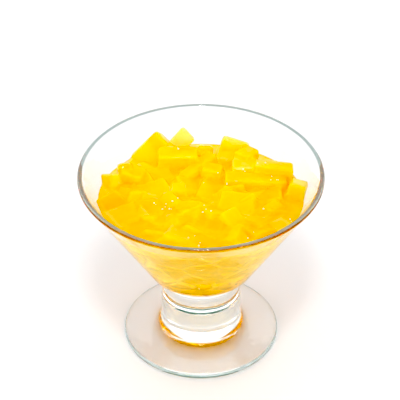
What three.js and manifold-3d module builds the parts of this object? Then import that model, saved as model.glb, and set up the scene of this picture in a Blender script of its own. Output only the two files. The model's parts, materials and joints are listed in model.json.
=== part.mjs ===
// Yellow jelly cut in chunks, heaped in a clear footed dessert glass.
// Millimetres, +Z up. The origin is the centre of the foot's underside.
import * as THREE from "three";
import { mergeVertices } from "three/addons/utils/BufferGeometryUtils.js";
import Module from "manifold-3d";

const wasm = await Module();
wasm.setup();

// Foot
const FOOT_SEAT_RADIUS = 38;
const FOOT_EDGE_RADIUS = 1.5;
const FOOT_EDGE_END = THREE.MathUtils.degToRad(75);
const FOOT_EDGE_STEPS = 5;

// Stem: radius and height of each turn of its outline, from the foot's top up to the bowl
const STEM_OUTLINE = [
  [30, 5.2], [25, 6.3], [22.6, 7.2], [21.2, 8.6], [20.6, 10.5], [20.4, 14], [20.4, 20], [20.2, 24],
  [19.6, 25.4], [20, 25.9], [20, 27.3], [19.4, 27.9], [19.2, 30], [19.3, 33], [20.2, 36],
  [22.2, 39.2], [25, 42.2], [27, 44],
];

// Bowl
const BOWL_BASE_RADIUS = 27.5;
const BOWL_BASE_HEIGHT = 44.4;
const BOWL_TILT = THREE.MathUtils.degToRad(30.7);
const WALL_THICKNESS = 2.2;
const RIM_RADIUS = 60;
const RIM_HEIGHT = 99.95;
const RIM_ROUNDING = 1.3;
const RIM_START = THREE.MathUtils.degToRad(-75);
const RIM_END = THREE.MathUtils.degToRad(135);
const RIM_STEPS = 7;
const RIM_RUN_IN = 0.35;
const CAVITY_FLOOR = 42;
const CAVITY_CORNER_RADIUS = 9;
const CAVITY_CORNER_STEPS = 5;

// Jelly
const CONTENTS_GAP = 0.3;
const CROWN_HEIGHT = 88.5;
const CROWN_DROP = 1.8;
const CROWN_REACH = 50;
const CROWN_TILT = THREE.MathUtils.degToRad(4.8);
const CORE_RADIUS = 70;
const CORE_STEPS = 3;
const FILL_COUNT = 60;
const FILL_REACH = 43;
const FILL_WIDTH = [13, 19];
const FILL_DEPTH = [10, 15];
const FILL_THICKNESS = [8, 11];
const FILL_SINK = [4, 6];
const FILL_LEAN = 24;
const FILL_SEED = 4127;

const GLASS_SEGMENTS = 80;
const JELLY_SEGMENTS = 48;
const GLASS_LOOK = { color: 0xf2f6f8, roughness: 0.02, metalness: 0, transparent: true, opacity: 0.35 };
const JELLY_LOOK = { color: 0xffcf0a, roughness: 0.2, metalness: 0 };

// The chunks that show: centre, size, and the turns about X, Y and Z in degrees
const CHUNKS = [
  { place: [-9.5, 43.5, 88.5], size: [9, 6, 10], turns: [-30, 46, 4] },
  { place: [-23.5, 35, 84.2], size: [16, 9, 21], turns: [-22, 45, -24] },
  { place: [-37.5, 14.5, 88.5], size: [6.5, 7, 11], turns: [-24, -8, 10] },
  { place: [-43.2, 9, 82], size: [10.5, 9.5, 17], turns: [-37, -2, 42] },
  { place: [-34, -18.5, 83.5], size: [15.5, 15, 13], turns: [0, -10, 30] },
  { place: [-34, 13.5, 87.5], size: [11, 10, 9], turns: [2, 8, -16] },
  { place: [-11.5, 26.5, 86], size: [20, 11, 14], turns: [-4, 0, 1] },
  { place: [-1, 19.5, 87], size: [22, 7, 8], turns: [-6, -14, 46] },
  { place: [-11, -0.5, 88], size: [7.5, 8, 8], turns: [-4, 2, 1] },
  { place: [-26.5, -14, 86.5], size: [11.5, 12, 8], turns: [4, 8, 14] },
  { place: [-6, -16, 87], size: [12, 12, 8], turns: [4, -6, -14] },
  { place: [-8, -27, 86], size: [9, 8, 8], turns: [4, 18, 22] },
  { place: [2, 30.5, 86.5], size: [8, 6, 14], turns: [-26, 2, 10] },
  { place: [5, 15.5, 84.5], size: [10, 9, 15], turns: [-6, 6, -10] },
  { place: [16.2, 33.5, 88.2], size: [14.5, 5.5, 13], turns: [-22, 14, -4] },
  { place: [22, 25, 87.5], size: [9, 12, 14], turns: [-10, 8, -34] },
  { place: [36, 14.5, 87.7], size: [19, 9, 12.5], turns: [-6, 5, -4] },
  { place: [22.5, 18, 90], size: [14.5, 9, 6], turns: [2, 0, 0] },
  { place: [27, 8, 87.5], size: [30.5, 8, 8], turns: [2, 2, -2] },
  { place: [46.5, 0, 84], size: [9, 10, 17], turns: [-18, 10, -14] },
  { place: [17, -10.5, 85], size: [17, 15, 12], turns: [10, 2, -10] },
  { place: [30.5, -17, 85.5], size: [20, 7, 9], turns: [4, -2, 48] },
  { place: [25.5, -24.5, 85.5], size: [6.5, 6, 7], turns: [4, 6, 24] },
  { place: [36.5, -27, 86], size: [7.5, 7, 7], turns: [4, 14, 34] },
  { place: [7.5, -29, 85], size: [10, 8.5, 10], turns: [2, 4, -14] },
];

// Points on an arc in the plane of a profile, from one angle to another, both ends included.
function arc(centreRadius, centreHeight, radius, fromAngle, toAngle, steps) {
  const points = [];
  for (let step = 0; step <= steps; step += 1) {
    const angle = fromAngle + (toAngle - fromAngle) * step / steps;
    points.push([centreRadius + radius * Math.cos(angle), centreHeight + radius * Math.sin(angle)]);
  }
  return points;
}

// The bowl's outer face is a straight cone.
function outerRadius(height) {
  return BOWL_BASE_RADIUS + (height - BOWL_BASE_HEIGHT) * Math.tan(BOWL_TILT);
}

// The face a distance inwards from the outer one, measured square to the wall.
function insetRadius(height, inset) {
  return outerRadius(height) - inset / Math.cos(BOWL_TILT);
}

// The cavity's outline from its wall at the given height down to the middle of its floor.
function cavityOutline(topHeight, inset) {
  const cornerRadius = CAVITY_CORNER_RADIUS;
  const floor = CAVITY_FLOOR + inset;
  const centreHeight = floor + cornerRadius;
  const centreRadius = insetRadius(centreHeight, WALL_THICKNESS + inset) - cornerRadius / Math.cos(BOWL_TILT);
  const corner = arc(centreRadius, centreHeight, cornerRadius, -BOWL_TILT, -Math.PI / 2, CAVITY_CORNER_STEPS);
  return [[insetRadius(topHeight, WALL_THICKNESS + inset), topHeight], ...corner, [0, floor]];
}

// A surface of revolution about Z. The outline runs anticlockwise from the axis back to it.
function turnedSurface(outline, segments) {
  const points = outline.map(([radius, height]) => new THREE.Vector2(radius, height));
  return new THREE.LatheGeometry(points, segments).rotateX(Math.PI / 2);
}

function turned(outline, segments) {
  return toSolid(turnedSurface(outline, segments));
}

function toSolid(geometry) {
  geometry.deleteAttribute("normal");
  geometry.deleteAttribute("uv");
  const welded = mergeVertices(geometry, 1e-5);
  const corners = welded.index.array;
  const kept = [];
  for (let first = 0; first < corners.length; first += 3) {
    const [a, b, c] = corners.slice(first, first + 3);
    if (a !== b && b !== c && c !== a) kept.push(a, b, c);
  }
  return new wasm.Manifold(new wasm.Mesh({
    numProp: 3,
    vertProperties: new Float32Array(welded.attributes.position.array),
    triVerts: new Uint32Array(kept),
  }));
}

function toMesh(solid, name, look) {
  const { vertProperties, triVerts } = solid.getMesh();
  const geometry = new THREE.BufferGeometry();
  geometry.setAttribute("position", new THREE.BufferAttribute(vertProperties, 3));
  geometry.setIndex(new THREE.BufferAttribute(triVerts, 1));
  geometry.computeVertexNormals();
  const mesh = new THREE.Mesh(geometry, new THREE.MeshStandardMaterial(look));
  mesh.name = name;
  return mesh;
}

function block({ place, size, turns }) {
  const [lean, roll, turn] = turns.map((angle) => THREE.MathUtils.degToRad(angle));
  const geometry = new THREE.BoxGeometry(...size);
  geometry.applyMatrix4(new THREE.Matrix4().makeRotationFromEuler(new THREE.Euler(lean, roll, turn, "XYZ")));
  geometry.translate(...place);
  return toSolid(geometry);
}

// The same draws for the same seed every time, between 0 and 1.
function randomDraws(seed) {
  let state = seed;
  return () => {
    state = (state * 1664525 + 1013904223) % 4294967296;
    return state / 4294967296;
  };
}

// The height of the core's top, a low dome that tilts down to the back.
function crownHeight(across, back) {
  return domeHeight(Math.hypot(across, back)) - back * Math.tan(CROWN_TILT);
}

function domeHeight(radius) {
  return CROWN_HEIGHT - CROWN_DROP * (radius / CROWN_REACH) ** 2;
}

// Chunks under and between the ones that show, spread evenly over the heap in a spiral.
function fillChunks() {
  const draw = randomDraws(FILL_SEED);
  const between = ([low, high]) => low + (high - low) * draw();
  const goldenTurn = Math.PI * (3 - Math.sqrt(5));
  const chunks = [];
  for (let index = 0; index < FILL_COUNT; index += 1) {
    const reach = FILL_REACH * Math.sqrt((index + 0.5) / FILL_COUNT);
    const around = index * goldenTurn;
    const size = [between(FILL_WIDTH), between(FILL_DEPTH), between(FILL_THICKNESS)];
    const lean = between([-FILL_LEAN, FILL_LEAN]);
    const roll = between([-FILL_LEAN, FILL_LEAN]);
    const turn = between([0, 180]);
    const across = reach * Math.cos(around);
    const back = reach * Math.sin(around);
    const place = [across, back, crownHeight(across, back) - between(FILL_SINK)];
    chunks.push({ place, size, turns: [lean, roll, turn] });
  }
  return chunks;
}

function glassSolid() {
  const rimCentreHeight = RIM_HEIGHT - RIM_ROUNDING;
  const outline = [
    [0, 0],
    ...arc(FOOT_SEAT_RADIUS, FOOT_EDGE_RADIUS, FOOT_EDGE_RADIUS, -Math.PI / 2, FOOT_EDGE_END, FOOT_EDGE_STEPS),
    ...STEM_OUTLINE,
    [BOWL_BASE_RADIUS, BOWL_BASE_HEIGHT],
    ...arc(RIM_RADIUS - RIM_ROUNDING, rimCentreHeight, RIM_ROUNDING, RIM_START, RIM_END, RIM_STEPS),
    ...cavityOutline(rimCentreHeight + RIM_RUN_IN, 0),
  ];
  return turned(outline, GLASS_SEGMENTS);
}

// The core is wider than the cavity, which then trims it, and its top tilts by a shear along Z.
function coreSolid() {
  const outline = [[0, 0], [CORE_RADIUS, 0]];
  for (let step = 0; step <= CORE_STEPS; step += 1) {
    const radius = CORE_RADIUS * (1 - step / CORE_STEPS);
    outline.push([radius, domeHeight(radius)]);
  }
  const tilt = new THREE.Matrix4().makeShear(0, 0, 0, -Math.tan(CROWN_TILT), 0, 0);
  return toSolid(turnedSurface(outline, JELLY_SEGMENTS).applyMatrix4(tilt));
}

function jellySolid() {
  const inside = [...cavityOutline(RIM_HEIGHT, CONTENTS_GAP).reverse(), [0, RIM_HEIGHT]];
  let heap = coreSolid();
  for (const chunk of [...CHUNKS, ...fillChunks()]) heap = heap.add(block(chunk));
  return heap.intersect(turned(inside, JELLY_SEGMENTS));
}

const part = new THREE.Group();
part.name = "coconut_jelly";
part.add(toMesh(glassSolid(), "glass", GLASS_LOOK));
part.add(toMesh(jellySolid(), "jelly", JELLY_LOOK));

export default part;
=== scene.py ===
"""Yellow jelly cut in chunks, heaped in a clear footed dessert glass, in a soft white studio."""
import json
import math

import bmesh
import bpy
import numpy
from mathutils import Matrix, Vector, noise
from mathutils.bvhtree import BVHTree

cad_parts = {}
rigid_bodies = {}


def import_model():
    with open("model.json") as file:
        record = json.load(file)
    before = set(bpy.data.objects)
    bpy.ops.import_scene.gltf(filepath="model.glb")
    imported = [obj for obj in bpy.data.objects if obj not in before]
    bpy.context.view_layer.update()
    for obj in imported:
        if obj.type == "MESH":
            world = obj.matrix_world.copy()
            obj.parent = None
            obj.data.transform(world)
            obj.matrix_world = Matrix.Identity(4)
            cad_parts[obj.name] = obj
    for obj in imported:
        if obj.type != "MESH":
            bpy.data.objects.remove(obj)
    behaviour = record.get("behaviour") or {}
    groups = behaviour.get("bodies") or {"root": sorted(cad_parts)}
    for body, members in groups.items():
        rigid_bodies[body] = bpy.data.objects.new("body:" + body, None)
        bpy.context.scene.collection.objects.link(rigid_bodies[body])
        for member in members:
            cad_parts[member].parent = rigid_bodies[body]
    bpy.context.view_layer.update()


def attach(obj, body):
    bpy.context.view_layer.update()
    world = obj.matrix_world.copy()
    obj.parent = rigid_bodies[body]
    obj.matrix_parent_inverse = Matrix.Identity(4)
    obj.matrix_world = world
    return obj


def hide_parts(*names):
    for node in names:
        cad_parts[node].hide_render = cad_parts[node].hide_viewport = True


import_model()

MM = 0.001

# ---- Driving dimensions, in millimetres and degrees. Outlines are pairs of radius and height. ----

# Foot and stem of the glass
FOOT_SEAT_RADIUS = 38
FOOT_EDGE_RADIUS = 1.5
FOOT_EDGE_END = 75
FOOT_TOP = [(30, 5.2), (25, 6.3), (22.6, 7.2), (21.2, 8.6), (20.6, 10.5), (20.4, 14), (20.4, 20), (20.2, 24)]
GROOVES = [(19.6, 25.4), (20, 25.9), (20, 27.3), (19.4, 27.9)]
NECK = [(19.2, 30), (19.3, 33), (20.2, 36), (22.2, 39.2), (25, 42.2), (27, 44)]

# Bowl of the glass
BOWL_BASE_RADIUS = 27.5
BOWL_BASE_HEIGHT = 44.4
BOWL_TILT = 30.7
WALL_THICKNESS = 2.2
RIM_RADIUS = 60
RIM_HEIGHT = 99.95
RIM_ROUNDING = 1.3
RIM_START = -75
RIM_END = 135
RIM_RUN_IN = 0.35
CAVITY_FLOOR = 42
CAVITY_CORNER_RADIUS = 9

# How finely the glass is divided, and the angle from which an edge stays sharp
GLASS_SEGMENTS = 256
FOOT_SEAT_STEPS = 10
FOOT_EDGE_STEPS = 14
CURVE_STEPS = 5
WALL_STEPS = 24
RIM_STEPS = 24
CAVITY_CORNER_STEPS = 16
CAVITY_FLOOR_STEPS = 6
GLASS_SHARP_FROM = 28

# Where the glass's edge lines are painted in shade: the rim's top, and the foot past a radius and below a
# height
RIM_SHADE_LINE_DEPTH = 0.5
FOOT_SHADE_LINE_START = 0.9
FOOT_SHADE_LINE_HEIGHT = 3

# Jelly: its core is a low dome that tilts down to the back, and it reaches just into the glass's wall
CONTENTS_OVERLAP = 0.15
CROWN_HEIGHT = 88.5
CROWN_DROP = 1.8
CROWN_REACH = 50
CROWN_TILT = 4.8
CORE_RADIUS = 70
CORE_STEPS = 12
JELLY_SEGMENTS = 192
JELLY_SHARP_FROM = 40

# Chunks: their rounded edges, the depth and size of the unevenness of their faces, and how they meld
CHUNK_ROUNDING = 1.4
CHUNK_ROUNDING_STEPS = 3
CHUNK_UNEVENNESS = 0.8
CHUNK_UNEVENNESS_SIZE = 9
CHUNK_UNEVENNESS_SHIFT = (7.3, 3.1, 5.7)
CHUNK_UNEVENNESS_SEED = 1
MELD_VOXEL = 0.7
MELD_SOFTENING = 0.5
MELD_ROUNDS = 4

# Chunks between the ones that show, with the lowest and highest of what is drawn
FILL_COUNT = 60
FILL_REACH = 43
FILL_WIDTH = (13, 19)
FILL_DEPTH = (10, 15)
FILL_THICKNESS = (8, 11)
FILL_SINK = (4, 6)
FILL_LEAN = 24
FILL_SEED = 4127

# The chunks that show: centre, size, and the turns about X, Y and Z
CHUNKS = [
    ((-9.5, 43.5, 88.5), (9, 6, 10), (-30, 46, 4)),
    ((-23.5, 35, 84.2), (16, 9, 21), (-22, 45, -24)),
    ((-37.5, 14.5, 88.5), (6.5, 7, 11), (-24, -8, 10)),
    ((-43.2, 9, 82), (10.5, 9.5, 17), (-37, -2, 42)),
    ((-34, -18.5, 83.5), (15.5, 15, 13), (0, -10, 30)),
    ((-34, 13.5, 87.5), (11, 10, 9), (2, 8, -16)),
    ((-11.5, 26.5, 86), (20, 11, 14), (-4, 0, 1)),
    ((-1, 19.5, 87), (22, 7, 8), (-6, -14, 46)),
    ((-11, -0.5, 88), (7.5, 8, 8), (-4, 2, 1)),
    ((-26.5, -14, 86.5), (11.5, 12, 8), (4, 8, 14)),
    ((-6, -16, 87), (12, 12, 8), (4, -6, -14)),
    ((-8, -27, 86), (9, 8, 8), (4, 18, 22)),
    ((2, 30.5, 86.5), (8, 6, 14), (-26, 2, 10)),
    ((5, 15.5, 84.5), (10, 9, 15), (-6, 6, -10)),
    ((16.2, 33.5, 88.2), (14.5, 5.5, 13), (-22, 14, -4)),
    ((22, 25, 87.5), (9, 12, 14), (-10, 8, -34)),
    ((36, 14.5, 87.7), (19, 9, 12.5), (-6, 5, -4)),
    ((22.5, 18, 90), (14.5, 9, 6), (2, 0, 0)),
    ((27, 8, 87.5), (30.5, 8, 8), (2, 2, -2)),
    ((46.5, 0, 84), (9, 10, 17), (-18, 10, -14)),
    ((17, -10.5, 85), (17, 15, 12), (10, 2, -10)),
    ((30.5, -17, 85.5), (20, 7, 9), (4, -2, 48)),
    ((25.5, -24.5, 85.5), (6.5, 6, 7), (4, 6, 24)),
    ((36.5, -27, 86), (7.5, 7, 7), (4, 14, 34)),
    ((7.5, -29, 85), (10, 8.5, 10), (2, 4, -14)),
]

# Air bubbles on the jelly, white specks that paint its glints, in groups: each group's middle seen from
# above, its spread and how many it has
BUBBLE_GROUPS = [
    ((-17, -14), 8, 9),
    ((5, -17), 5, 4),
    ((1, 6), 1, 1),
    ((8, 12), 1, 1),
    ((13, 5), 1, 2),
    ((22, 12), 2, 2),
    ((33, 11), 7, 6),
    ((30, -16), 1, 1),
    ((44, -24), 2, 2),
    ((23, -38), 3, 2),
    ((-2, -41), 5, 4),
    ((-12, 30), 7, 3),
]
BUBBLE_SIZE = (0.5, 1)
BUBBLE_ROUNDNESS = 2
BUBBLE_SEED = 9

# ---- Materials. Scales are features a metre, depths are millimetres and shares run from 0 to 1. ----

# Clear glass, its tinge and waves, and the greyer, cloudier glass of its edge lines, which is painted shade
# for the grey-green lines that refraction in the rounded rim and foot edge shows
GLASS_COLOUR = (1, 1, 1)
GLASS_CLEARNESS = 1
GLASS_IOR = 1.5
GLASS_TINGE = (0.8, 0.88, 0.85)
GLASS_TINGE_DENSITY = 8
GLASS_EDGE_SHADE_COLOUR = (0.78, 0.84, 0.84)
GLASS_EDGE_SHADE_CLEARNESS = 0.78
WAVE_SCALE = 90
WAVE_DEPTH = 0.2

# Jelly, which is more see-through below a height and within a reach of the glass's wall
WALL_HEIGHT = 60
WALL_REACH = 0.1
TOP_SEE_THROUGH = 0.4
WALL_SEE_THROUGH = 0.92
DEEP_JELLY = (1, 0.56, 0.001)
# Painted light: the deep colour at the glass is paler, to make up for the light that is short in the bowl's
# lower part
DEEP_JELLY_PAINTED_LIGHTER_AT_THE_GLASS = (1, 0.6, 0.001)
PALE_JELLY = (1, 0.87, 0.28)
JELLY_ROUGHNESS = 0.1
JELLY_IOR = 1.36
JELLY_GLOSS = 0.2

# How far red, green and blue light spreads inside the jelly, as shares of a length in metres
SPREAD_OF_LIGHT = (0.7, 0.6, 0.05)
SPREAD_LENGTH = 0.02

# How pale a chunk is: some by their number in the list, the others drawn around a middle value
MIDDLE_TINT = 0.16
TINT_SPREAD = 0.12
# Chunks 1, 3 and 4 at the left and 19, 21 and 23 at the right are listed paler: painted light that makes up
# for the shade on the heap's sides
TINTS_AND_SIDE_LIGHT = {0: 1, 1: 0.35, 3: 0.4, 4: 0.35, 14: 0.6, 16: 0.3, 17: 0.3, 19: 0.4, 21: 0.25, 23: 0.35}
TINT_SEED = 77

# Paler cut edges, painted light for the light that thin jelly lets through at its edges; cloudy wisps, and
# the fine unevenness of the skin
CUT_EDGE_LIGHT = 0.18
CUT_EDGE_LIGHT_WIDTH = 1.3
CLOUD_TINT = 0.3
CLOUD_SCALE = 230
SKIN_SCALE = 500
SKIN_DEPTH = 0.16

# The pattern of chunks packed behind the glass, with its seams
PACKED_SCALE = 80
PACKED_TINT = 0.3
SEAM_WIDTH = 0.12
SEAM_TINT = 0.3
SEAM_DEPTH = 0.2

# Bubble film: near-white and mostly not see-through, painted highlights for the glints on the wet jelly
BUBBLE_GLINT_COLOUR = (1, 1, 0.9)
BUBBLE_GLINT_CLEARNESS = 0.3
BUBBLE_ROUGHNESS = 0.15

# ---- Studio and camera ----

# Floor: it reaches so many metres to each side, a hair below the glass, and is hardly mottled
FLOOR_REACH = 3
FLOOR_GAP = 0.2
FLOOR_GREY = 0.78
FLOOR_MOTTLE = 0.006
FLOOR_MOTTLE_SCALE = 25
FLOOR_ROUGHNESS = 0.6
FLOOR_GRAIN_SCALE = 900
FLOOR_GRAIN_DEPTH = 0.02

# Studio light: an evenly bright room and square lights that aim at the bowl, with their places and sizes in
# metres, their power in watts and whether they show as reflections
ROOM_BRIGHTNESS = 1
ROOM_COLOUR = (0.99, 0.985, 1)
LIGHTS = [
    ("key", (0, -0.6, 1.3), 0.2, 6, True),
    ("side", (-1.1, 0.1, 0.6), 0.8, 1.5, True),
    ("front", (0.4, -1.2, 0.35), 1, 3, True),
    ("back", (0, 1.3, 0.8), 2, 7, False),
]
LIGHTS_AIM = (0, 0, 0.05)
LIGHT_BOUNCES = 96

# Camera response
BLACK_LEVEL = 0.125
WHITE_LEVEL = 1

# Camera: its distance from the point it looks at on the glass's axis, the image width it is framed for in
# pixels, and where the axis shows in it
IMAGE_WIDTH = 400
CAMERA_FOCUS_PIXELS = 1723.5
CAMERA_AXIS_PIXEL = 200.93
CAMERA_DISTANCE = 845.5
CAMERA_ELEVATION = 37.3
CAMERA_TARGET_HEIGHT = 83.1
CAMERA_SENSOR_WIDTH = 36
CAMERA_CLIP_START = 10


# ---- Outlines and meshes ----

def arc(centre, radius, start, end, steps):
    """Points on an arc of an outline, between two angles, both ends included."""
    angles = [math.radians(start + (end - start) * step / steps) for step in range(steps + 1)]
    return [(centre[0] + radius * math.cos(a), centre[1] + radius * math.sin(a)) for a in angles]


def smooth_line(points):
    """A smooth line through points, as cubic spans that share their slope at each point."""
    line = [points[0]]
    padded = [points[0], *points, points[-1]]
    for before, here, after, beyond in zip(padded, padded[1:], padded[2:], padded[3:]):
        for step in range(1, CURVE_STEPS + 1):
            t = step / CURVE_STEPS
            line.append(tuple(
                0.5 * (
                    2 * b + (c - a) * t
                    + (2 * a - 5 * b + 4 * c - d) * t * t
                    + (3 * b - a - 3 * c + d) * t ** 3
                )
                for a, b, c, d in zip(before, here, after, beyond)
            ))
    return line


def between(start, end, steps):
    """Evenly spaced points after start, up to and with end."""
    return [
        (start[0] + (end[0] - start[0]) * step / steps, start[1] + (end[1] - start[1]) * step / steps)
        for step in range(1, steps + 1)
    ]


def outer_radius(height):
    """The radius of the bowl's outside."""
    return BOWL_BASE_RADIUS + (height - BOWL_BASE_HEIGHT) * math.tan(math.radians(BOWL_TILT))


def inset_radius(height, inset):
    """The radius that lies so far inside the bowl's outside, measured across its wall."""
    return outer_radius(height) - inset / math.cos(math.radians(BOWL_TILT))


def cavity_outline(top_height, inset):
    """The cavity's outline from its wall at a height down to the middle of its floor."""
    floor = CAVITY_FLOOR + inset
    centre_height = floor + CAVITY_CORNER_RADIUS
    centre_radius = (inset_radius(centre_height, WALL_THICKNESS + inset)
                     - CAVITY_CORNER_RADIUS / math.cos(math.radians(BOWL_TILT)))
    corner = arc((centre_radius, centre_height), CAVITY_CORNER_RADIUS, -BOWL_TILT, -90, CAVITY_CORNER_STEPS)
    top = (inset_radius(top_height, WALL_THICKNESS + inset), top_height)
    return [
        top,
        *between(top, corner[0], WALL_STEPS),
        *corner[1:],
        *between(corner[-1], (0, floor), CAVITY_FLOOR_STEPS),
    ]


def turned(name, outline, segments):
    """A closed mesh of revolution about Z, from an outline that starts and ends on the axis."""
    mesh = bmesh.new()
    rings = []
    for radius, height in outline:
        if radius < 1e-6:
            rings.append([mesh.verts.new((0, 0, height * MM))] * segments)
            continue
        turns = [2 * math.pi * index / segments for index in range(segments)]
        rings.append([
            mesh.verts.new((radius * MM * math.cos(a), radius * MM * math.sin(a), height * MM)) for a in turns
        ])
    for low, high in zip(rings, rings[1:]):
        for index in range(segments):
            after = (index + 1) % segments
            corners = []
            for vertex in (low[index], low[after], high[after], high[index]):
                if vertex not in corners:
                    corners.append(vertex)
            if len(corners) > 2:
                mesh.faces.new(corners)
    return finished(mesh, name)


def finished(mesh, name):
    """The bmesh as a new object in the scene, with its faces turned outwards."""
    bmesh.ops.recalc_face_normals(mesh, faces=mesh.faces)
    data = bpy.data.meshes.new(name)
    mesh.to_mesh(data)
    mesh.free()
    made = bpy.data.objects.new(name, data)
    bpy.context.scene.collection.objects.link(made)
    return made


def smooth(made, sharp_from):
    """Smooth shading, with edges that turn by more than an angle kept sharp."""
    for face in made.data.polygons:
        face.use_smooth = True
    made.data.set_sharp_from_angle(angle=math.radians(sharp_from))


def apply_modifiers(made):
    """Replaces the object's mesh with what its modifiers make of it."""
    evaluated = made.evaluated_get(bpy.context.evaluated_depsgraph_get())
    data = bpy.data.meshes.new_from_object(evaluated)
    made.modifiers.clear()
    made.data = data


def random_draws(seed):
    """The same draws for the same seed every time, between 0 and 1."""
    state = seed
    while True:
        state = (state * 1664525 + 1013904223) % 4294967296
        yield state / 4294967296


# ---- Parts of materials ----

def new_material(name):
    """A material and its shader."""
    material = bpy.data.materials.new(name)
    material.use_nodes = True
    return material, material.node_tree.nodes["Principled BSDF"]


def noise_texture(material, scale):
    """Noise between 0 and 1, with so many features a metre."""
    nodes, links = material.node_tree.nodes, material.node_tree.links
    place = nodes.new("ShaderNodeTexCoord")
    texture = nodes.new("ShaderNodeTexNoise")
    texture.inputs["Scale"].default_value = scale
    links.new(place.outputs["Object"], texture.inputs["Vector"])
    return texture.outputs["Fac"]


def stretched(material, value, low, high):
    """A value between 0 and 1, stretched to run from low to high."""
    nodes, links = material.node_tree.nodes, material.node_tree.links
    span = nodes.new("ShaderNodeMapRange")
    span.inputs["To Min"].default_value = low
    span.inputs["To Max"].default_value = high
    links.new(value, span.inputs["Value"])
    return span.outputs["Result"]


def with_share(material, base, value, share):
    """The base plus a share of the value."""
    nodes, links = material.node_tree.nodes, material.node_tree.links
    added = nodes.new("ShaderNodeMath")
    added.operation = "MULTIPLY_ADD"
    added.inputs[1].default_value = share
    links.new(value, added.inputs[0])
    links.new(base, added.inputs[2])
    return added.outputs["Value"]


def add_bump(material, height, depth):
    """Uneven surface: a height between 0 and 1, and what it stands for in millimetres."""
    nodes, links = material.node_tree.nodes, material.node_tree.links
    bump = nodes.new("ShaderNodeBump")
    bump.inputs["Strength"].default_value = 1
    bump.inputs["Distance"].default_value = depth * MM
    links.new(height, bump.inputs["Height"])
    links.new(bump.outputs["Normal"], nodes["Principled BSDF"].inputs["Normal"])


# ---- Glass ----

def glass_piece():
    """The glass, turned from one outline that runs up its outside and down its inside."""
    foot_seat = (FOOT_SEAT_RADIUS, FOOT_EDGE_RADIUS)
    foot_edge = arc(foot_seat, FOOT_EDGE_RADIUS, -90, FOOT_EDGE_END, FOOT_EDGE_STEPS)
    rim = (RIM_RADIUS - RIM_ROUNDING, RIM_HEIGHT - RIM_ROUNDING)
    rim_edge = arc(rim, RIM_ROUNDING, RIM_START, RIM_END, RIM_STEPS)
    bowl_base = (BOWL_BASE_RADIUS, BOWL_BASE_HEIGHT)
    outline = [
        (0, 0),
        *between((0, 0), foot_edge[0], FOOT_SEAT_STEPS),
        *foot_edge[1:],
        *smooth_line([foot_edge[-1], *FOOT_TOP])[1:],
        *GROOVES,
        *smooth_line(NECK),
        bowl_base,
        *between(bowl_base, rim_edge[0], WALL_STEPS),
        *rim_edge[1:],
        *cavity_outline(rim[1] + RIM_RUN_IN, 0),
    ]
    glass = turned("dessert_glass", outline, GLASS_SEGMENTS)
    smooth(glass, GLASS_SHARP_FROM)
    return glass


def mark_shaded_edge_faces(glass):
    """The top of the rim and the edge of the foot, which get the greyer, cloudier glass: painted shade for
    the grey-green lines that refraction shows there.
    """
    for face in glass.data.polygons:
        height = face.center.z / MM
        radius = math.hypot(face.center.x, face.center.y) / MM
        on_rim = height > RIM_HEIGHT - RIM_SHADE_LINE_DEPTH
        on_foot_edge = height < FOOT_SHADE_LINE_HEIGHT and radius > FOOT_SEAT_RADIUS + FOOT_SHADE_LINE_START
        face.material_index = int(on_rim or on_foot_edge)


def glass_material(name, colour, clearness):
    """Pressed glass with a faint tinge and a faintly wavy surface."""
    material, shader = new_material(name)
    shader.inputs["Base Color"].default_value = (*colour, 1)
    shader.inputs["Transmission Weight"].default_value = clearness
    shader.inputs["Roughness"].default_value = 0
    shader.inputs["IOR"].default_value = GLASS_IOR
    add_bump(material, noise_texture(material, WAVE_SCALE), WAVE_DEPTH)
    nodes, links = material.node_tree.nodes, material.node_tree.links
    absorption = nodes.new("ShaderNodeVolumeAbsorption")
    absorption.inputs["Color"].default_value = (*GLASS_TINGE, 1)
    absorption.inputs["Density"].default_value = GLASS_TINGE_DENSITY
    links.new(absorption.outputs["Volume"], nodes["Material Output"].inputs["Volume"])
    return material


# ---- Jelly ----

def crown_height(across, back):
    """The height of the core's top, a low dome that tilts down to the back."""
    drop = CROWN_DROP * (across ** 2 + back ** 2) / CROWN_REACH ** 2
    return CROWN_HEIGHT - drop - back * math.tan(math.radians(CROWN_TILT))


def core_piece():
    """The core that the chunks are joined to, wider than the glass until it is cut to its inside."""
    radii = [CORE_RADIUS * (1 - step / CORE_STEPS) for step in range(CORE_STEPS + 1)]
    crown = [(radius, crown_height(radius, 0)) for radius in radii]
    core = turned("jelly_heap", [(0, 0), (CORE_RADIUS, 0), *crown], JELLY_SEGMENTS)
    for vertex in core.data.vertices:
        vertex.co.z -= vertex.co.y * math.tan(math.radians(CROWN_TILT))
    return core


def inside_piece():
    """The inside of the glass and a hair of its wall."""
    outline = [*cavity_outline(RIM_HEIGHT, -CONTENTS_OVERLAP)[::-1], (0, RIM_HEIGHT)]
    return turned("inside", outline, JELLY_SEGMENTS)


def fill_chunks():
    """Chunks under and between the ones that show, spread evenly over the heap in a spiral."""
    draws = random_draws(FILL_SEED)

    def drawn(low, high):
        """The next draw, between low and high."""
        return low + (high - low) * next(draws)

    golden_turn = math.pi * (3 - math.sqrt(5))
    chunks = []
    for index in range(FILL_COUNT):
        reach = FILL_REACH * math.sqrt((index + 0.5) / FILL_COUNT)
        around = index * golden_turn
        size = (drawn(*FILL_WIDTH), drawn(*FILL_DEPTH), drawn(*FILL_THICKNESS))
        turns = (drawn(-FILL_LEAN, FILL_LEAN), drawn(-FILL_LEAN, FILL_LEAN), drawn(0, 180))
        across, back = reach * math.cos(around), reach * math.sin(around)
        place = (across, back, crown_height(across, back) - drawn(*FILL_SINK))
        chunks.append((place, size, turns))
    return chunks


def turn_matrix(turns):
    """Turns about X, Y and Z as one matrix."""
    lean, roll, turn = (math.radians(angle) for angle in turns)
    return Matrix.Rotation(lean, 4, "X") @ Matrix.Rotation(roll, 4, "Y") @ Matrix.Rotation(turn, 4, "Z")


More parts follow.
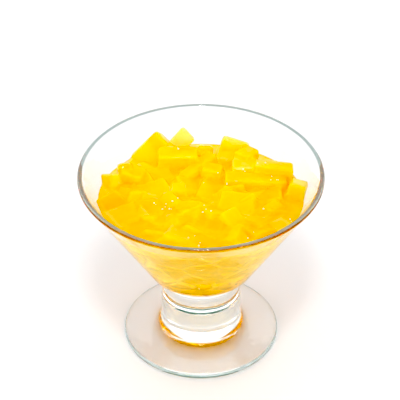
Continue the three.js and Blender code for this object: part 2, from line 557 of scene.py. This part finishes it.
def chunk_piece(number, place, size, turns):
    """A cut chunk with rounded edges and slightly uneven faces."""
    frame_of_chunk = (
        Matrix.Translation(Vector(place) * MM)
        @ turn_matrix(turns)
        @ Matrix.Diagonal((*(Vector(size) * MM), 1))
    )
    mesh = bmesh.new()
    bmesh.ops.create_cube(mesh, size=1, matrix=frame_of_chunk)
    bmesh.ops.bevel(
        mesh, geom=mesh.edges[:], offset=CHUNK_ROUNDING * MM, offset_type="OFFSET",
        segments=CHUNK_ROUNDING_STEPS, profile=0.5, affect="EDGES",
    )
    shift = Vector([number * step for step in CHUNK_UNEVENNESS_SHIFT])
    for vertex in mesh.verts:
        uneven = noise.noise_vector(vertex.co / MM / CHUNK_UNEVENNESS_SIZE + shift)
        vertex.co += uneven * CHUNK_UNEVENNESS * MM
    return finished(mesh, f"chunk_{number}")


def jelly_piece():
    """The core and the chunks joined, softly melded and cut to the inside of the glass."""
    jelly = core_piece()
    inside = inside_piece()
    noise.seed_set(CHUNK_UNEVENNESS_SEED)
    chunks = bpy.data.collections.new("chunks")
    bpy.context.scene.collection.children.link(chunks)
    for number, (place, size, turns) in enumerate([*CHUNKS, *fill_chunks()]):
        made = chunk_piece(number, place, size, turns)
        bpy.context.scene.collection.objects.unlink(made)
        chunks.objects.link(made)
    join = jelly.modifiers.new("join", "BOOLEAN")
    join.operation = "UNION"
    join.operand_type = "COLLECTION"
    join.collection = chunks
    join.solver = "MANIFOLD"
    meld = jelly.modifiers.new("meld", "REMESH")
    meld.mode = "VOXEL"
    meld.voxel_size = MELD_VOXEL * MM
    soften = jelly.modifiers.new("soften", "SMOOTH")
    soften.factor = MELD_SOFTENING
    soften.iterations = MELD_ROUNDS
    trim = jelly.modifiers.new("trim", "BOOLEAN")
    trim.operation = "INTERSECT"
    trim.object = inside
    trim.solver = "MANIFOLD"
    apply_modifiers(jelly)
    for made in [*chunks.objects, inside]:
        bpy.data.objects.remove(made)
    bpy.data.collections.remove(chunks)
    jelly.data.materials.clear()
    smooth(jelly, JELLY_SHARP_FROM)
    return jelly


def mark_wall_faces(jelly):
    """Where the jelly touches the glass it has no dull skin, more light goes through it, and its deep colour
    is painted paler, as painted light.
    """
    for face in jelly.data.polygons:
        height = face.center.z / MM
        radius = math.hypot(face.center.x, face.center.y) / MM
        to_wall = inset_radius(height, WALL_THICKNESS - CONTENTS_OVERLAP) - radius
        face.material_index = int(height < WALL_HEIGHT or to_wall < WALL_REACH)


def mark_chunks(jelly):
    """At each point of the heap, the paleness of the chunk it lies on, painted lighter on some side chunks,
    and how near it is to a cut edge, whose paleness is painted light.
    """
    points = numpy.empty(len(jelly.data.vertices) * 3)
    jelly.data.vertices.foreach_get("co", points)
    points = points.reshape(-1, 3) / MM
    nearest = numpy.full(len(points), CHUNK_ROUNDING)
    tint_and_side_light = numpy.full(len(points), MIDDLE_TINT)
    edge = numpy.zeros(len(points))
    draws = random_draws(TINT_SEED)
    for number, (place, size, turns) in enumerate([*CHUNKS, *fill_chunks()]):
        drawn = MIDDLE_TINT + TINT_SPREAD * (2 * next(draws) - 1)
        turned_back = numpy.array(turn_matrix(turns).to_3x3())
        beyond = numpy.abs((points - numpy.array(place)) @ turned_back) - numpy.array(size) / 2
        beyond.sort(axis=1)
        here = beyond[:, 2] < nearest
        nearest[here] = beyond[here, 2]
        tint_and_side_light[here] = TINTS_AND_SIDE_LIGHT.get(number, drawn)
        edge[here] = numpy.clip(1 + beyond[here, 1] / CUT_EDGE_LIGHT_WIDTH, 0, 1)
    for name, values in (("tint_and_side_light", tint_and_side_light), ("edge", edge)):
        jelly.data.attributes.new(name, "FLOAT", "POINT").data.foreach_set("value", values)


def marked(material, name):
    """A mark that the jelly's points carry."""
    mark = material.node_tree.nodes.new("ShaderNodeAttribute")
    mark.attribute_name = name
    return mark.outputs["Fac"]


def cells(material, feature, output, reach, low, high):
    """A measure of the cells that stand for packed chunks, from low at zero to high at its reach."""
    nodes, links = material.node_tree.nodes, material.node_tree.links
    place = nodes.new("ShaderNodeTexCoord")
    texture = nodes.new("ShaderNodeTexVoronoi")
    texture.feature = feature
    texture.inputs["Scale"].default_value = PACKED_SCALE
    span = nodes.new("ShaderNodeMapRange")
    span.interpolation_type = "SMOOTHSTEP"
    span.inputs["From Max"].default_value = reach
    span.inputs["To Min"].default_value = low
    span.inputs["To Max"].default_value = high
    links.new(place.outputs["Object"], texture.inputs["Vector"])
    links.new(texture.outputs[output], span.inputs["Value"])
    return span.outputs["Result"]


def packed_chunks(material, paleness):
    """The chunks packed behind the glass: cells with tints of their own, and pale raised seams between."""
    tints = cells(material, "F1", "Color", 1, -0.5, 0.5)
    seams = cells(material, "DISTANCE_TO_EDGE", "Distance", SEAM_WIDTH, 1, 0)
    add_bump(material, seams, SEAM_DEPTH)
    paleness = with_share(material, paleness, tints, PACKED_TINT)
    return with_share(material, paleness, seams, SEAM_TINT)


def jelly_material(name, see_through, deep_colour, packed):
    """Wet jelly with cloudy wisps, paler cut edges that are painted light, and its chunks' tints, some of
    them painted light on the heap's sides.
    """
    material, shader = new_material(name)
    nodes, links = material.node_tree.nodes, material.node_tree.links
    paleness = stretched(material, noise_texture(material, CLOUD_SCALE), -CLOUD_TINT / 2, CLOUD_TINT / 2)
    # Painted light: paler near the chunks' cut edges, where thin jelly lets more light through
    paleness = with_share(material, paleness, marked(material, "edge"), CUT_EDGE_LIGHT)
    # The chunks' tints, with painted light on some side chunks
    paleness = with_share(material, paleness, marked(material, "tint_and_side_light"), 1)
    if packed:
        paleness = packed_chunks(material, paleness)
    else:
        add_bump(material, noise_texture(material, SKIN_SCALE), SKIN_DEPTH)
    colour = nodes.new("ShaderNodeMix")
    colour.data_type = "RGBA"
    colour.inputs["A"].default_value = (*deep_colour, 1)
    colour.inputs["B"].default_value = (*PALE_JELLY, 1)
    links.new(paleness, colour.inputs["Factor"])
    links.new(colour.outputs["Result"], shader.inputs["Base Color"])
    shader.inputs["Transmission Weight"].default_value = see_through
    shader.inputs["Roughness"].default_value = JELLY_ROUGHNESS
    shader.inputs["IOR"].default_value = JELLY_IOR
    shader.inputs["Specular IOR Level"].default_value = JELLY_GLOSS
    shader.inputs["Subsurface Weight"].default_value = 1
    shader.inputs["Subsurface Radius"].default_value = SPREAD_OF_LIGHT
    shader.inputs["Subsurface Scale"].default_value = SPREAD_LENGTH
    return material


# ---- Bubbles ----

def bubbles_piece(jelly):
    """Small bubbles that sit half sunk in the heap's surface, white specks that paint its glints."""
    surface = BVHTree.FromObject(jelly, bpy.context.evaluated_depsgraph_get())
    draws = random_draws(BUBBLE_SEED)
    smallest, largest = BUBBLE_SIZE
    mesh = bmesh.new()
    for (across, back), spread, count in BUBBLE_GROUPS:
        for _ in range(count):
            reach, around = spread * math.sqrt(next(draws)), 2 * math.pi * next(draws)
            x, y = across + reach * math.cos(around), back + reach * math.sin(around)
            place = surface.ray_cast(Vector((x, y, RIM_HEIGHT)) * MM, Vector((0, 0, -1)))[0]
            size = smallest + (largest - smallest) * next(draws)
            bmesh.ops.create_icosphere(
                mesh, subdivisions=BUBBLE_ROUNDNESS, radius=size / 2 * MM, matrix=Matrix.Translation(place)
            )
    bubbles = finished(mesh, "bubbles")
    smooth(bubbles, 180)
    return bubbles


def bubble_glint_material():
    """A near-white bubble film that is mostly not see-through: a painted highlight for a glint on the wet
    jelly.
    """
    material, shader = new_material("bubble_painted_glint")
    shader.inputs["Base Color"].default_value = (*BUBBLE_GLINT_COLOUR, 1)
    shader.inputs["Transmission Weight"].default_value = BUBBLE_GLINT_CLEARNESS
    shader.inputs["Roughness"].default_value = BUBBLE_ROUGHNESS
    add_bump(material, noise_texture(material, SKIN_SCALE), SKIN_DEPTH)
    return material


# ---- Studio ----

def floor_piece():
    """The surface that the glass stands on."""
    mesh = bmesh.new()
    bmesh.ops.create_grid(mesh, x_segments=1, y_segments=1, size=FLOOR_REACH)
    floor = finished(mesh, "floor")
    floor.location.z = -FLOOR_GAP * MM
    return floor


def floor_material():
    """Matt white board, hardly mottled and with a fine grain."""
    material, shader = new_material("floor")
    mottle = noise_texture(material, FLOOR_MOTTLE_SCALE)
    grey = stretched(material, mottle, FLOOR_GREY - FLOOR_MOTTLE, FLOOR_GREY + FLOOR_MOTTLE)
    material.node_tree.links.new(grey, shader.inputs["Base Color"])
    shader.inputs["Roughness"].default_value = FLOOR_ROUGHNESS
    add_bump(material, noise_texture(material, FLOOR_GRAIN_SCALE), FLOOR_GRAIN_DEPTH)
    return material


def area_light(name, place, size, power, reflected):
    """A square light that aims at the bowl."""
    data = bpy.data.lights.new(name, "AREA")
    data.size = size
    data.energy = power
    light = bpy.data.objects.new(name, data)
    light.location = place
    light.visible_glossy = reflected
    light.rotation_euler = (Vector(LIGHTS_AIM) - Vector(place)).to_track_quat("-Z", "Y").to_euler()
    bpy.context.scene.collection.objects.link(light)


def studio():
    """A white room with a small key light in front above, and large soft lights round the sides."""
    world = bpy.data.worlds.new("studio")
    bpy.context.scene.world = world
    world.use_nodes = True
    background = world.node_tree.nodes["Background"]
    background.inputs["Color"].default_value = (*ROOM_COLOUR, 1)
    background.inputs["Strength"].default_value = ROOM_BRIGHTNESS
    for light in LIGHTS:
        area_light(*light)


def light_paths():
    """Enough bounces for the thick glass, and no blurring, which would darken what is lit through it."""
    cycles = bpy.context.scene.cycles
    cycles.max_bounces = LIGHT_BOUNCES
    cycles.glossy_bounces = LIGHT_BOUNCES
    cycles.transmission_bounces = LIGHT_BOUNCES
    cycles.blur_glossy = 0


def camera():
    """The camera at the photo's viewing angle, level and with the glass's axis near the image's middle."""
    data = bpy.data.cameras.new("camera")
    made = bpy.data.objects.new("camera", data)
    bpy.context.scene.collection.objects.link(made)
    elevation = math.radians(CAMERA_ELEVATION)
    made.location = Vector((
        0,
        -CAMERA_DISTANCE * math.cos(elevation),
        CAMERA_TARGET_HEIGHT + CAMERA_DISTANCE * math.sin(elevation),
    )) * MM
    made.rotation_euler = (math.pi / 2 - elevation, 0, 0)
    data.sensor_width = CAMERA_SENSOR_WIDTH
    data.lens = CAMERA_FOCUS_PIXELS / IMAGE_WIDTH * CAMERA_SENSOR_WIDTH
    data.shift_x = (IMAGE_WIDTH / 2 - CAMERA_AXIS_PIXEL) / IMAGE_WIDTH
    data.clip_start = CAMERA_CLIP_START * MM
    bpy.context.scene.camera = made


def camera_response():
    """A contrasty response, as the photo has: the darkest tones go to black."""
    view = bpy.context.scene.view_settings
    view.view_transform = "Standard"
    view.use_curve_mapping = True
    view.curve_mapping.black_level = (BLACK_LEVEL,) * 3
    view.curve_mapping.white_level = (WHITE_LEVEL,) * 3
    view.curve_mapping.update()


# ---- The whole ----

glass = glass_piece()
glass.data.materials.append(glass_material("clear_glass", GLASS_COLOUR, GLASS_CLEARNESS))
# Painted shade: the second glass material greys the rim's top and the foot's edge into grey-green lines
glass.data.materials.append(glass_material("glass_edge_painted_shade", GLASS_EDGE_SHADE_COLOUR, GLASS_EDGE_SHADE_CLEARNESS))
mark_shaded_edge_faces(glass)
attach(glass, "root")
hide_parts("glass")

jelly = jelly_piece()
jelly.data.materials.append(jelly_material("yellow_jelly", TOP_SEE_THROUGH, DEEP_JELLY, False))
# Painted light: the jelly at the glass has a paler deep colour than the rest
jelly.data.materials.append(
    jelly_material("yellow_jelly_painted_lighter_at_the_glass", WALL_SEE_THROUGH, DEEP_JELLY_PAINTED_LIGHTER_AT_THE_GLASS, True)
)
mark_wall_faces(jelly)
mark_chunks(jelly)
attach(jelly, "root")
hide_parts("jelly")

bubbles = bubbles_piece(jelly)
bubbles.data.materials.append(bubble_glint_material())
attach(bubbles, "root")
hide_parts("jelly")

floor = floor_piece()
floor.data.materials.append(floor_material())

studio()
light_paths()
camera()
camera_response()
